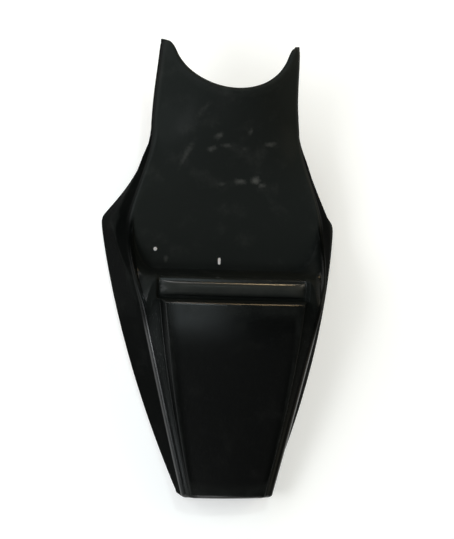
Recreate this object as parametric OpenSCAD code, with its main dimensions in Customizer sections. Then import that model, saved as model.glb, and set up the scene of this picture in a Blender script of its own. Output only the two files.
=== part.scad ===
// Racing seat unit: a one-piece glass-fibre moulding with a seat pan, a back-stop and a tail.
// The skin is lofted over a grid of rows (front to rear) and columns (rim to rim).
// Inside this file y = 0 is the foot of the back-stop and z = 0 is the flat of the pan.
// The finished moulding stands on its skirt corners and its tail, with +Y forward and +Z up.

/* [Lengths] */
// Foot of the back-stop to the middle of the front cut-out
pan_len = 312; // [280:1:350]
// Reach of the horns past the middle of the cut-out
horn_len = 83; // [50:1:110]
// Foot of the back-stop to the end of the tail
tail_len = 384; // [320:1:430]

/* [Widths] */
// Pan at its widest
pan_w = 344; // [320:1:370]
// Pan at the waist
waist_w = 260; // [236:1:280]
// Across the outer edges of the horns
horn_w = 242; // [230:1:260]
// Across the two horn tips
tip_w = 232; // [200:1:238]
// Across the front corners of the skirts
skirt_w = 428; // [390:1:460]
// Tail end
tail_w = 154; // [144:1:190]

/* [Outline] */
// Foot of the back-stop to the widest place of the pan
pan_pos = 55; // [35:1:80]
// Foot of the back-stop to the waist
waist_pos = 250; // [210:1:280]
// Round of the outer corner of each horn, along the horn
horn_round = 14; // [8:1:30]

/* [Pan] */
// Rise of the front of the pan over its flat
nose_rise = 54; // [10:1:80]
// Length over which the pan rises to its front
nose_run = 214; // [140:1:260]
// Drop of the pan's side edges where the horns begin
waist_drop = 28; // [0:1:60]
// Drop of the side edges at the horn tips
tip_drop = 5; // [0:1:40]
// Depth of the turned-down edge round the front
flange = 15; // [12:0.5:25]
// Outward lean of that edge over its depth
flange_lean = 3; // [1:0.5:8]

/* [Back-stop and bead] */
// Height of the back-stop over the pan
backstop_h = 79; // [60:1:100]
// Run of its face from foot to top
backstop_run = 16; // [10:1:40]
// Across the back-stop and the bead
block_w = 253; // [240:1:270]
// Width of the rolled bead behind the back-stop
bead_w = 25; // [16:1:36]
// Height of the bead
bead_h = 10; // [4:1:16]
// Width of the groove behind the bead
groove_w = 5; // [3:1:14]

/* [Hump] */
// Height of the hump over the pan
hump_h = 112; // [100:1:130]
// Height of the hump at the tail end
hump_end_h = 99; // [94:1:115]
// Across the front of the hump
hump_w = 237; // [215:1:246]
// Run of the rounded front of the hump
hump_front = 9; // [5:1:25]
// Fall of the hump towards its front edge
hump_fall = 5; // [0:0.5:12]
// Rise of its middle over its sides
crown = 5; // [0:0.5:12]
// Width of the step down each side of the block and the hump
step_run = 7; // [5:0.5:14]
// Across the hump at the tail end
hump_end_w = 124; // [100:1:128]
// Outward bow of the hump's sides along the tail
hump_bow = 6; // [0:0.5:8]

/* [Shoulder and skirt] */
// Height of the shoulder where it leaves the ramp beside the back-stop
shoulder_h = 79; // [65:1:90]
// Height of the shoulder at the tail end
shoulder_end_h = 89; // [80:1:98]
// Height of the lip round the rear corners of the pan
lip = 6; // [0:0.5:9]
// Foot of the back-stop to the rear end of the ramp
ramp_back = 66; // [40:1:100]
// Foot of the back-stop to the front corner of the skirt
skirt_pos = 84; // [60:1:110]
// Depth of that corner below the pan
skirt_drop = 75; // [50:1:100]
// Foot of the back-stop to where the skirt's front edge leaves the pan
skirt_start = 244; // [210:1:270]
// Height of the lower edge at the tail end, over the pan
tail_low = 46; // [20:1:60]
// Outward bow of the lower edge along the tail
rim_bow = 19; // [0:1:30]
// Upward bow of the lower edge along the tail
rim_arch = 11; // [0:1:30]
// Outward lean of the tail's side at its end
tail_lean = 2; // [1:0.5:10]
// Bulge of the soft crease in the skirt
crease = 7; // [0:0.5:14]

/* [Laminate and holes] */
// Wall of the moulding
wall = 3; // [2:0.1:4]
// Round of the outer edges
edge_r = 7; // [5:0.5:10]
// Diameter of the fixing hole
hole_d = 6.5; // [4:0.1:10]
// Fixing hole, left of the centre line
hole_x = 124; // [95:1:130]
// Fixing hole, forward of the back-stop
hole_y = 32; // [20:1:80]
// Width of the strap slot
slot_w = 5; // [3:0.5:8]
// Length of the strap slot
slot_len = 12; // [8:1:24]
// Slot, left of the centre line
slot_x = 11; // [0:1:60]
// Slot, forward of the back-stop
slot_y = 14; // [12:1:40]

/* [Hidden] */
$fn = 48;
gelcoat = [0.07, 0.08, 0.08];

tip_y = pan_len + horn_len;
ramp_front = skirt_pos;
bead_gap = 3;
bead_front = -backstop_run - bead_gap;
bead_back = bead_front - bead_w;
hump_start = bead_back - groove_w;
hump_top = hump_start - hump_front;
even_run = 60;
rows_even = hump_top - even_run;
horn_run = 25;
horn_start = pan_len - horn_run;
drop_run = 170;
bead_end_power = 10;
block_inset = 8;
ledge_fall = 2;
pan_block = block_w / 2 - block_inset;
step_end_run = 0.6 * step_run;
inner_share = 0.68;
arch_power = 2.2;
crease_place = 0.45;
crease_gap = 0.1;
crease_fade = 60;
rim_power = 1.9;
corner_soft = 8;
tail_soft = 0.23;
cut_fullness = 0.93;
cut_round = 0.875;

function clamp01(t) = max(0, min(1, t));
function ease(t) = let (c = clamp01(t)) c * c * (3 - 2 * c);
function part_of(a, b, y) = clamp01((y - a) / (b - a));
function mix(a, b, t) = a + (b - a) * t;
function unit(v) = v / norm(v);
function soft_min(a, b, k) = (a + b - sqrt((a - b) * (a - b) + k * k)) / 2;
function curve(a, b, c, t) = mix(mix(a, b, t), mix(b, c, t), t);

// Plan outline of the top skin: half its width at y
function tail_share(t) = (t < tail_soft ? t * t / (2 * tail_soft) : t - tail_soft / 2)
    / (1 - tail_soft / 2);
function tip_narrowing(y) = let (q = part_of(tip_y - horn_round, tip_y, y))
    (horn_w - tip_w) / 2 * (1 - sqrt(1 - q * q));
function edge_x(y) = y > pan_pos
    ? mix(pan_w / 2, waist_w / 2, ease(part_of(pan_pos, waist_pos, y)))
        + mix(0, (horn_w - waist_w) / 2, part_of(waist_pos, tip_y, y)) - tip_narrowing(y)
    : mix(pan_w / 2, tail_w / 2, tail_share(part_of(pan_pos, -tail_len, y)));

// Height of that outline: level beside the pan, down to the horns, up the ramp to the tail
function front_drop(y) = y < horn_start ? waist_drop * ease(part_of(horn_start - drop_run, horn_start, y))
    : mix(waist_drop, tip_drop, ease(part_of(horn_start, tip_y, y)));
function edge_z(y) = ease(part_of(ramp_front, -ramp_back, y))
    * mix(shoulder_h, shoulder_end_h, part_of(-ramp_back, -tail_len, y)) - front_drop(y);

// Lower rim of the skirt, as [x, z] at y: a front edge and a long rear edge
function skirt_share(y) = max(0, (skirt_start - y) / (skirt_start - skirt_pos));
function front_rim(y) = let (a = max(y, skirt_start), t = skirt_share(y))
    [mix(edge_x(a) + flange_lean, skirt_w / 2, pow(t, rim_power)), mix(edge_z(a) - flange, -skirt_drop, t)];
function rear_rim(y) = let (t = (skirt_pos - y) / (skirt_pos + tail_len), b = 4 * t * (1 - t))
    [mix(skirt_w / 2, tail_w / 2 + tail_lean, t) + rim_bow * b, mix(-skirt_drop, tail_low, t) + rim_arch * b];
function rim(y) = let (a = front_rim(y), b = rear_rim(y))
    [soft_min(a[0], b[0], corner_soft), -soft_min(-a[1], -b[1], corner_soft)];

// Edge of the front cut-out, from 0 in the middle to 1 at the horn tip
function cut_arc(q) = 1 - sqrt(1 - pow(q / cut_fullness, 2));
cut_slope = cut_round / pow(cut_fullness, 2) / sqrt(1 - pow(cut_round / cut_fullness, 2));
function cut_line(q) = q < cut_round ? cut_arc(q)
    : cut_arc(cut_round) + cut_slope * (q - cut_round) * (1 - (q - cut_round) / (2 * (1 - cut_round)));
function cut_share(q) = cut_line(clamp01(q)) / cut_line(1);

// Rows: 0 to 1 pan, 1 to 2 back-stop, 2 to 3 bead, 3 to 4 groove and hump front, 4 to 5 hump
function mid_y(r) =
    r < 1 ? mix(pan_len - edge_r, 0, r) :
    r < 2 ? -backstop_run * (r - 1) :
    r < 3 ? mix(bead_front, bead_back, (1 - cos(180 * (r - 2))) / 2) :
    r < 3.2 ? mix(bead_back, hump_start, (r - 3) / 0.2) :
    r < 4 ? hump_start - hump_front * (1 - cos(90 * (r - 3.2) / 0.8)) :
    mix(hump_top, edge_r - tail_len, r - 4);
function side_y(r) =
    r < 1 ? mix(tip_y - edge_r, ramp_front, 1 - pow(1 - r, 1.1)) :
    r < 2 ? mix(ramp_front, -ramp_back, r - 1) :
    mid_y(r) + (backstop_run - ramp_back) * (1 - part_of(-backstop_run, rows_even, mid_y(r)));

// Height along the centre line behind the foot of the back-stop, without the bead
function hump_line(y) = let (t = part_of(hump_top, -tail_len, y))
    mix(hump_h, hump_end_h, t) - hump_fall * pow(1 - min(1, 4 * t), 2);
function deck_z(r) = let (q = 90 * (r - 3.2) / 0.8)
    r < 3.2 ? backstop_h :
    r < 4 ? mix(backstop_h, hump_line(hump_top), sin(q)) :
    hump_line(mid_y(r));
// The bead: half a sine across, rounded off towards its ends
function bead_z(s, r) = r > 2 && r < 3 ? bead_h * sin(180 * (r - 2)) * (1 - pow(min(1, s), bead_end_power)) : 0;
function pan_line(y) = let (t = (y - pan_len + nose_run) / nose_run)
    t < 0 ? 0 : nose_rise * (t < 1 ? t * t : 2 * t - 1);
function pan_z(s, r) = let (q = top_x(s, r) / edge_x(side_y(r)))
    mix(pan_line(top_y(s, r)), -front_drop(top_y(s, r)), pow(min(1, q), arch_power));

// Half width of the block and the hump, carried on as a column over the pan
function deck_x(r) =
    r < 1 ? mix(inner_share * edge_x(side_y(r)), pan_block, ease(r)) :
    r < 2 ? mix(pan_block, block_w / 2, r - 1) :
    r < 3 ? block_w / 2 :
    r < 4 ? mix(block_w / 2, hump_w / 2, ease(r - 3)) :
    mix(hump_w / 2, hump_end_w / 2, r - 4) + 4 * hump_bow * (r - 4) * (5 - r);
function step_x(r) = deck_x(r) + mix(step_run, step_end_run, part_of(4, 5, r));

// Point of the top skin at column s: 0 to 1 deck, 1 to 2 step, 2 to 3 ledge
function top_x(s, r) = let (h = deck_x(r), l = step_x(r), c = edge_x(side_y(r)) - edge_r, q = s - 2,
        turn = r < 1 ? ease(r) : r < 2 ? 2 - r : 0)
    s < 1 ? h * s : s < 2 ? mix(h, l, s - 1) : mix(l, c, mix(q, sin(90 * q), turn));
function top_y(s, r) = let (x = top_x(s, r), a = mid_y(r), b = side_y(r), q = max(0, s - 2),
        corner = 1 - cos(90 * q))
    r < 1 ? mix(a, b, mix(cut_share(x / edge_x(b)), corner, ease(r))) :
    mix(a, b, mix(corner, q * q, clamp01(r - 1)));
function block_z(s, r) = let (d = deck_z(r), e = edge_z(side_y(max(r, 2))), l = e + ledge_fall)
    s < 1 ? d - crown * s * s + bead_z(s, r) :
    s < 2 ? mix(d - crown, l, ease(s - 1)) :
    mix(l, e, s - 2);
function top_z(s, r) =
    r < 1 ? pan_z(s, r) :
    r < 2 ? ease(r - 1) * (s < 2 ? block_z(s, 2) : mix(shoulder_h + ledge_fall, shoulder_h, s - 2))
        - lip * pow(sin(180 * (r - 1)), 2) * max(0, s - 2) :
    block_z(s, r);
function top_point(s, r) = [top_x(s, r), top_y(s, r), top_z(s, r)];

// Point of the whole skin: 3 to 4 rounded edge, 4 to 5 skirt over the crease, 5 to 6 below it
function skirt_point(s, y) = let (e = [edge_x(y), edge_z(y)], k = rim(y), d = k - e,
        out = [-d[1], d[0]] / norm(d), start = edge_r / norm(d),
        front = ease(part_of(-ramp_back, skirt_pos, y)),
        place = max(start + crease_gap, mix(start, crease_place, front)),
        bulge = crease * front * ease(part_of(skirt_start, skirt_start - crease_fade, y)),
        f = s < 5 ? mix(start, place, s - 4) : mix(place, 1, s - 5),
        b = s < 5 ? s - 4 : 6 - s,
        p = e + d * f + out * bulge * b)
    [p[0], y, p[1]];
function skin_point(s, r) = let (y = side_y(r))
    s <= 3 ? top_point(s, r) :
    s < 4 ? curve(top_point(3, r), [edge_x(y), y, edge_z(y)], skirt_point(4, y), s - 3) :
    skirt_point(s, y);

// Height after a turn of angle a round an end edge, running out to nothing at the lower rim
function rounded(z, low, a) = z - edge_r * (1 - cos(a)) * min(1, (z - low) / (2 * edge_r));

// Front edge: c runs from 0 on the skin over a round to 1 at the bottom of the flange
function front_out(s) = let (a = skin_point(max(0, s - 0.04), 0), b = skin_point(min(6, s + 0.04), 0))
    unit([a[1] - b[1], b[0] - a[0]]);
function flange_point(s, c) = let (p = skin_point(s, 0), n = s < 0.05 ? [0, 1] : front_out(s),
        low = s <= 3 ? p[2] - flange : skin_point(6, 0)[2],
        a = min(90, 180 * c), f = clamp01(2 * c - 1),
        q = p + [n[0], n[1], 0] * edge_r * sin(a),
        foot = s <= 3 ? q[0] : mix(skin_point(3, 0)[0], skin_point(6, 0)[0], (s - 3) / 4))
    [mix(q[0], foot, f), q[1], mix(rounded(p[2], low, a), low, f)];

// Tail face: c runs from 0 on the skin over a round to 1 along the bottom of the face
function face_point(s, c) = let (p = skin_point(s, 5), low = rim(edge_r - tail_len)[1],
        a = min(90, 180 * c), f = clamp01(2 * c - 1), half = p[0] / (tail_w / 2),
        x = p[0] - edge_r * (1 - cos(a)) * half,
        share = s <= 3 ? 0.75 * p[0] / skin_point(3, 5)[0] : 0.75 + 0.25 * (s - 3) / 3,
        foot = share * (tail_w / 2 - edge_r - 2))
    [mix(x, foot, f), p[1] - edge_r * sin(a), mix(rounded(p[2], low, a), low, f)];
function half_point(s, r) = r < 0 ? flange_point(s, -r) : r > 5 ? face_point(s, r - 5) : skin_point(s, r);
function outer_point(s, r) = let (p = half_point(abs(s), r)) [s < 0 ? -p[0] : p[0], p[1], p[2]];

// Grid: cells in each band of columns, and in each band of rows
band_columns = [7, 3, 4, 3, 2, 3];
band_rows = [4, 17, 6, 6, 7, 10, 5];
even_passes = 16;
half_columns = [for (b = [0:5]) for (k = [0:band_columns[b] - 1]) b + k / band_columns[b], 6];
columns = concat([for (k = [len(half_columns) - 1:-1:1]) -half_columns[k]], half_columns);
rows = [for (b = [0:6]) for (k = [0:band_rows[b] - 1]) b - 1 + k / band_rows[b], 6];
outer = [for (r = rows) [for (s = columns) outer_point(s, r)]];
last_row = len(rows) - 1;
last_column = len(columns) - 1;

// The inner skin lies one wall inside the outer one, and a little less at tight corners:
// the directions inward are evened out over the grid, so that the inner skin never folds
function inside(k, last) = max(1, min(last - 1, k));
function inward(row, column) = let (i = inside(row, last_row), j = inside(column, last_column))
    unit(cross(outer[i][j + 1] - outer[i][j - 1], outer[i + 1][j] - outer[i - 1][j]));
function evened(v, passes) = passes == 0 ? v : evened([for (i = [0:last_row]) [for (j = [0:last_column])
    (v[max(0, i - 1)][j] + v[min(last_row, i + 1)][j] + v[i][max(0, j - 1)] + v[i][min(last_column, j + 1)]
        + 2 * v[i][j]) / 6]], passes - 1);
inward_even = evened([for (i = [0:last_row]) [for (j = [0:last_column]) inward(i, j)]], even_passes);
inner = outer + wall * inward_even;

across = last_column + 1;
points = concat([for (row = outer) for (p = row) p], [for (row = inner) for (p = row) p]);
inner_start = across * (last_row + 1);
function at(i, j) = i * across + j;
function two(a, b, c, d) = [[a, b, c], [a, c, d]];
function other_two(a, b, c, d) = [[a, b, d], [b, c, d]];
function turned(f) = [f[0], f[2], f[1]];
// Both halves are split alike, with a cut into each corner of the moulding
function is_turned(i, j) = (j < last_column / 2) != (i < band_rows[0]);
function cell(i, j) = let (a = at(i, j), b = at(i, j + 1), c = at(i + 1, j + 1), d = at(i + 1, j))
    is_turned(i, j) ? other_two(a, b, c, d) : two(a, b, c, d);
skin_faces = [for (i = [0:last_row - 1]) for (j = [0:last_column - 1]) for (f = cell(i, j)) f];
function edge_faces(a, b) = two(a, a + inner_start, b + inner_start, b);
rim_faces = concat(
    [for (j = [0:last_column - 1]) for (f = edge_faces(at(0, j), at(0, j + 1))) f],
    [for (j = [0:last_column - 1]) for (f = edge_faces(at(last_row, j + 1), at(last_row, j))) f],
    [for (i = [0:last_row - 1]) for (f = edge_faces(at(i + 1, 0), at(i, 0))) f],
    [for (i = [0:last_row - 1]) for (f = edge_faces(at(i, last_column), at(i + 1, last_column))) f]);

// Resting pose: both ends of the lower rim on the ground, the footprint about the origin
sweep = atan2(tail_low + skirt_drop, tail_len + skirt_pos);
lying = [for (p = points) [p[1] * cos(sweep) - p[2] * sin(sweep), p[1] * sin(sweep) + p[2] * cos(sweep)]];
lying_y = [for (p = lying) p[0]];
ground = min([for (p = lying) p[1]]);
middle = (min(lying_y) + max(lying_y)) / 2;

module shell() {
    polyhedron(points, concat(skin_faces, [for (f = skin_faces) turned(f + [inner_start, inner_start, inner_start])],
        rim_faces), convexity = 10);
}

module fixing_hole() {
    translate([-hole_x, hole_y, -4 * wall]) cylinder(d = hole_d, h = 8 * wall);
}

module strap_slot() {
    span = slot_len - slot_w;
    translate([-slot_x, slot_y, -4 * wall]) {
        for (side = [-1, 1]) translate([0, side * span / 2, 0]) cylinder(d = slot_w, h = 8 * wall);
        translate([-slot_w / 2, -span / 2, 0]) cube([slot_w, span, 8 * wall]);
    }
}

module seat_unit() {
    color(gelcoat) translate([0, -middle, -ground]) rotate([sweep, 0, 0]) difference() {
        shell();
        fixing_hole();
        strap_slot();
    }
}

seat_unit();
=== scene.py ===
"""Looks of a racing seat unit: a one-piece black glass-fibre moulding, trimmed and drilled.

The moulding is one surface over two parameters. A column runs from the centre line over the deck,
the step, the ledge and the rounded edge to the lower rim of the skirt. A row runs from the front
flange over the pan, the back-stop, the bead, the groove and the hump to the tail face.
Shape methods work in millimetres in the pan's own frame, where y is 0 at the foot of the back-stop
and z is 0 on the flat of the pan. The finished mesh is laid down in the row frame, in metres.
"""

import logging
import math
from dataclasses import dataclass, field
from enum import Enum

import bpy
import numpy as np
from bpy.types import Material, Node, NodeSocket, NodeTree, Object
from mathutils import Euler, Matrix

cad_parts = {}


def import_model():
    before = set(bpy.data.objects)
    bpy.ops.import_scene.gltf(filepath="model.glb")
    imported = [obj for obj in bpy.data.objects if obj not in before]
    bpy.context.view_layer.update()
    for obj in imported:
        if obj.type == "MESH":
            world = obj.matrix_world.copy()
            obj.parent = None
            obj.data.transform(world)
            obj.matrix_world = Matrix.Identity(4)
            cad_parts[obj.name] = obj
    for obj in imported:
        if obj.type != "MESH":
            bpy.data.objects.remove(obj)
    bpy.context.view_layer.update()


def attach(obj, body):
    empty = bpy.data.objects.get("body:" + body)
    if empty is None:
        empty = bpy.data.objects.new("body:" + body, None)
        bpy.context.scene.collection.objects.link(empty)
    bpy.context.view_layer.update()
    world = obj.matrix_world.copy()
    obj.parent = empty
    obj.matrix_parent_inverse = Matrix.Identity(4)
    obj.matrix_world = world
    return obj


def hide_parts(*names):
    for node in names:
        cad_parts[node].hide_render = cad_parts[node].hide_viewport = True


log = logging.getLogger("seat_unit")

Grid = np.ndarray
MM = 0.001
# UV maps: edge wear with the dull colour, which paints a sheen on the ledges; polish with a paler colour on
# the bead's top, part dust and part painted light.
UV_WEAR = "wear and dullness"
UV_POLISH = "polish and dusting"
LAST_COLUMN = 6.0
FIRST_ROW = -1.0
LAST_ROW = 6.0
GROOVE_ROW = 3.2


class Side(Enum):
    """Which finish a face of the moulding has; the value is its material slot."""

    GELCOAT = 0
    LAMINATE = 1
    TRIM = 2


def clamp01(t: Grid) -> Grid:
    """Cuts t off at 0 and 1."""
    return np.clip(t, 0.0, 1.0)


def ease(t: Grid) -> Grid:
    """Smooth step: 3 t squared less 2 t cubed, level at both ends."""
    c = clamp01(t)
    return c * c * (3.0 - 2.0 * c)


def part_of(start: float, end: float, y: Grid) -> Grid:
    """How far y has gone from start to end, from 0 to 1."""
    return clamp01((y - start) / (end - start))


def rise(start: float, end: float, y: Grid) -> Grid:
    """Eased step from 0 at start to 1 at end."""
    return ease(part_of(start, end, y))


def fall(start: float, end: float, y: Grid) -> Grid:
    """Eased step from 1 at start to 0 at end."""
    return 1.0 - rise(start, end, y)


def mix(a: Grid, b: Grid, t: Grid) -> Grid:
    """Straight line from a at t = 0 to b at t = 1."""
    return a + (b - a) * t


def soft_min(a: Grid, b: Grid, softness: float) -> Grid:
    """The smaller of a and b, with a rounded corner of size softness where they cross.

    Half of the sum less the root of the squared difference and the squared softness.
    """
    return (a + b - np.sqrt((a - b) ** 2 + softness**2)) / 2.0


def unit(v: Grid) -> Grid:
    """Vectors along the last axis, made one long."""
    return v / (np.linalg.norm(v, axis=-1, keepdims=True) + 1e-12)


def evened(v: Grid, passes: int) -> Grid:
    """Evens a grid of vectors out: each pass is a third of itself and a sixth of each neighbour.

    Args:
        v: grid of vectors, rows by columns by 3.
        passes: how often the average is taken.

    Returns:
        The evened grid.
    """
    for _ in range(passes):
        q = np.pad(v, ((1, 1), (1, 1), (0, 0)), mode="edge")
        v = (q[:-2, 1:-1] + q[2:, 1:-1] + q[1:-1, :-2] + q[1:-1, 2:] + 2.0 * q[1:-1, 1:-1]) / 6.0
    return v


def placed(name: str, data: bpy.types.ID) -> Object:
    """Puts a new object with the data into the scene."""
    piece = bpy.data.objects.new(name, data)
    bpy.context.scene.collection.objects.link(piece)
    return piece


def mesh_piece(name: str, points: Grid, faces: list) -> Object:
    """Puts a new mesh object into the scene.

    Args:
        name: name of the object and its mesh.
        points: corners, in metres.
        faces: numbers of each face's corners.

    Returns:
        The object.
    """
    mesh = bpy.data.meshes.new(name)
    mesh.from_pydata(points, [], faces)
    return placed(name, mesh)


@dataclass
class Moulding:
    """The seat unit's shape, in millimetres, with the same names as the CAD source.

    The skirts are a little narrower than there, because the finer grid reaches further out at the corners.
    """

    pan_len: float = 312.0
    horn_len: float = 83.0
    tail_len: float = 384.0
    pan_w: float = 344.0
    waist_w: float = 260.0
    horn_w: float = 242.0
    tip_w: float = 232.0
    skirt_w: float = 425.5
    tail_w: float = 154.0
    pan_pos: float = 55.0
    waist_pos: float = 250.0
    horn_round: float = 14.0
    nose_rise: float = 54.0
    nose_run: float = 214.0
    waist_drop: float = 28.0
    tip_drop: float = 5.0
    horn_run: float = 25.0
    drop_run: float = 170.0
    flange: float = 15.0
    flange_lean: float = 3.0
    backstop_h: float = 79.0
    backstop_run: float = 16.0
    block_w: float = 253.0
    bead_gap: float = 3.0
    bead_w: float = 25.0
    bead_h: float = 10.0
    bead_end_power: float = 10.0
    groove_w: float = 5.0
    hump_h: float = 112.0
    hump_end_h: float = 99.0
    hump_w: float = 237.0
    hump_end_w: float = 124.0
    hump_bow: float = 6.0
    hump_front: float = 9.0
    hump_fall: float = 5.0
    crown: float = 5.0
    step_run: float = 7.0
    step_end: float = 0.6
    shoulder_h: float = 79.0
    shoulder_end_h: float = 89.0
    lip: float = 6.0
    ledge_fall: float = 2.0
    ramp_back: float = 66.0
    skirt_pos: float = 84.0
    skirt_drop: float = 75.0
    skirt_start: float = 244.0
    tail_low: float = 46.0
    rim_bow: float = 19.0
    rim_arch: float = 11.0
    tail_lean: float = 2.0
    crease: float = 7.0
    crease_place: float = 0.45
    crease_gap: float = 0.1
    crease_fade: float = 60.0
    wall: float = 3.0
    edge_r: float = 7.0
    hole_d: float = 6.5
    hole_x: float = -124.0
    hole_y: float = 32.0
    slot_w: float = 5.0
    slot_len: float = 12.0
    slot_x: float = -11.0
    slot_y: float = 14.0
    inner_share: float = 0.68
    block_inset: float = 8.0
    arch_power: float = 2.2
    rim_power: float = 1.9
    corner_soft: float = 8.0
    tail_soft: float = 0.23
    cut_fullness: float = 0.93
    cut_round: float = 0.875
    even_run: float = 60.0
    band_columns: tuple = (7, 3, 4, 3, 2, 3)
    band_rows: tuple = (4, 17, 6, 6, 7, 10, 5)
    even_passes: int = 16
    fine: int = 4
    foot_share: float = 0.75
    foot_inset: float = 2.0
    bulge_passes: int = 5
    full_bulge: float = 1.2
    hole_sides: int = 48
    cutter_reach: float = 12.0
    sharp_angle: float = 50.0
    tip_y: float = field(init=False)
    bead_front: float = field(init=False)
    bead_back: float = field(init=False)
    hump_start: float = field(init=False)
    hump_top: float = field(init=False)

    def __post_init__(self) -> None:
        """Works out the places that follow from the sizes."""
        self.tip_y = self.pan_len + self.horn_len
        self.bead_front = -self.backstop_run - self.bead_gap
        self.bead_back = self.bead_front - self.bead_w
        self.hump_start = self.bead_back - self.groove_w
        self.hump_top = self.hump_start - self.hump_front

    def tail_share(self, t: Grid) -> Grid:
        """Share of the taper at t: a parabola that runs into a straight line."""
        soft = self.tail_soft
        return np.where(t < soft, t * t / (2.0 * soft), t - soft / 2.0) / (1.0 - soft / 2.0)

    def edge_x(self, y: Grid) -> Grid:
        """Half width of the top skin at y: eased to the waist, straight to the horns, a taper behind."""
        q = part_of(self.tip_y - self.horn_round, self.tip_y, y)
        narrowing = (self.horn_w - self.tip_w) / 2.0 * (1.0 - np.sqrt(1.0 - q * q))
        waist = rise(self.pan_pos, self.waist_pos, y)
        horn = (self.horn_w - self.waist_w) / 2.0 * part_of(self.waist_pos, self.tip_y, y)
        front = mix(self.pan_w / 2.0, self.waist_w / 2.0, waist) + horn - narrowing
        taper = self.tail_share(part_of(self.pan_pos, -self.tail_len, y))
        return np.where(y > self.pan_pos, front, mix(self.pan_w / 2.0, self.tail_w / 2.0, taper))

    def front_drop(self, y: Grid) -> Grid:
        """How far the side edges lie below the flat of the pan: down to the waist, up to the tips."""
        low = self.pan_len - self.horn_run
        down = self.waist_drop * rise(low - self.drop_run, low, y)
        up = mix(self.waist_drop, self.tip_drop, rise(low, self.tip_y, y))
        return np.where(y < low, down, up)

    def edge_z(self, y: Grid) -> Grid:
        """Height of the top skin's outline: level beside the pan, then up the ramp to the tail."""
        ramp = rise(self.skirt_pos, -self.ramp_back, y)
        along = part_of(-self.ramp_back, -self.tail_len, y)
        return ramp * mix(self.shoulder_h, self.shoulder_end_h, along) - self.front_drop(y)

    def rim(self, y: Grid) -> tuple[Grid, Grid]:
        """Half width and height of the lower rim at y: a front edge and a long bowed rear edge."""
        a = np.maximum(y, self.skirt_start)
        t = np.maximum(0.0, (self.skirt_start - y) / (self.skirt_start - self.skirt_pos))
        front_x = mix(self.edge_x(a) + self.flange_lean, self.skirt_w / 2.0, t**self.rim_power)
        front_z = mix(self.edge_z(a) - self.flange, -self.skirt_drop, t)
        t = (self.skirt_pos - y) / (self.skirt_pos + self.tail_len)
        bow = 4.0 * t * (1.0 - t)
        rear_x = mix(self.skirt_w / 2.0, self.tail_w / 2.0 + self.tail_lean, t) + self.rim_bow * bow
        rear_z = mix(-self.skirt_drop, self.tail_low, t) + self.rim_arch * bow
        half = soft_min(front_x, rear_x, self.corner_soft)
        return half, -soft_min(-front_z, -rear_z, self.corner_soft)

    def cut_share(self, q: Grid) -> Grid:
        """Edge of the front cut-out, from 0 in its middle to 1 at the tip: an arc, then a bend to level."""
        last = self.cut_round
        slope = last / self.cut_fullness**2 / math.sqrt(1.0 - (last / self.cut_fullness) ** 2)

        def line(v: Grid) -> Grid:
            """The arc up to cut_round, and the bend from there on."""
            arc = 1.0 - np.sqrt(1.0 - (np.minimum(v, last) / self.cut_fullness) ** 2)
            over = np.maximum(0.0, v - last)
            return arc + slope * over * (1.0 - over / (2.0 * (1.0 - last)))

        return line(clamp01(q)) / line(np.array(1.0))

    def mid_y(self, r: Grid) -> Grid:
        """Place of row r on the centre line."""
        turn = np.pi / 2.0 * (r - GROOVE_ROW) / (4.0 - GROOVE_ROW)
        return np.select(
            [r < 1.0, r < 2.0, r < 3.0, r < GROOVE_ROW, r < 4.0],
            [
                mix(self.pan_len - self.edge_r, 0.0, r),
                -self.backstop_run * (r - 1.0),
                mix(self.bead_front, self.bead_back, (1.0 - np.cos(np.pi * (r - 2.0))) / 2.0),
                mix(self.bead_back, self.hump_start, (r - 3.0) / (GROOVE_ROW - 3.0)),
                self.hump_start - self.hump_front * (1.0 - np.cos(turn)),
            ],
            mix(self.hump_top, self.edge_r - self.tail_len, r - 4.0),
        )

    def side_y(self, r: Grid) -> Grid:
        """Place of row r at the outline, where the ramp reaches further back than the back-stop."""
        mid = self.mid_y(r)
        lag = 1.0 - part_of(-self.backstop_run, self.hump_top - self.even_run, mid)
        pan = mix(self.tip_y - self.edge_r, self.skirt_pos, 1.0 - (1.0 - np.clip(r, 0.0, 1.0)) ** 1.1)
        return np.select(
            [r < 1.0, r < 2.0],
            [pan, mix(self.skirt_pos, -self.ramp_back, r - 1.0)],
            mid + (self.backstop_run - self.ramp_back) * lag,
        )

    def hump_line(self, y: Grid) -> Grid:
        """Height of the hump along its middle: a straight fall, with a dip at its front."""
        t = part_of(self.hump_top, -self.tail_len, y)
        dip = self.hump_fall * (1.0 - np.minimum(1.0, 4.0 * t)) ** 2
        return mix(self.hump_h, self.hump_end_h, t) - dip

    def deck_z(self, r: Grid) -> Grid:
        """Height along the centre line behind the pan, without the bead: level, then up the hump."""
        turn = np.pi / 2.0 * (r - GROOVE_ROW) / (4.0 - GROOVE_ROW)
        front = mix(self.backstop_h, self.hump_line(np.array(self.hump_top)), np.sin(turn))
        high = np.where(r < 4.0, front, self.hump_line(self.mid_y(r)))
        return np.where(r < GROOVE_ROW, self.backstop_h, high)

    def bead_z(self, s: Grid, r: Grid) -> Grid:
        """Height of the bead: half a sine across, rounded off towards its ends by a power."""
        along = 1.0 - np.minimum(1.0, s) ** self.bead_end_power
        return np.where((r > 2.0) & (r < 3.0), self.bead_h * np.sin(np.pi * (r - 2.0)) * along, 0.0)

    def pan_line(self, y: Grid) -> Grid:
        """Rise of the pan towards its nose: a parabola over the run, straight past it."""
        t = (y - self.pan_len + self.nose_run) / self.nose_run
        return np.where(t < 0.0, 0.0, self.nose_rise * np.where(t < 1.0, t * t, 2.0 * t - 1.0))

    def pan_z(self, s: Grid, r: Grid) -> Grid:
        """Height of the pan: its middle line, arched down to the side edges by a power."""
        q = self.top_x(s, r) / self.edge_x(self.side_y(r))
        y = self.top_y(s, r)
        return mix(self.pan_line(y), -self.front_drop(y), np.minimum(1.0, q) ** self.arch_power)

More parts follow.
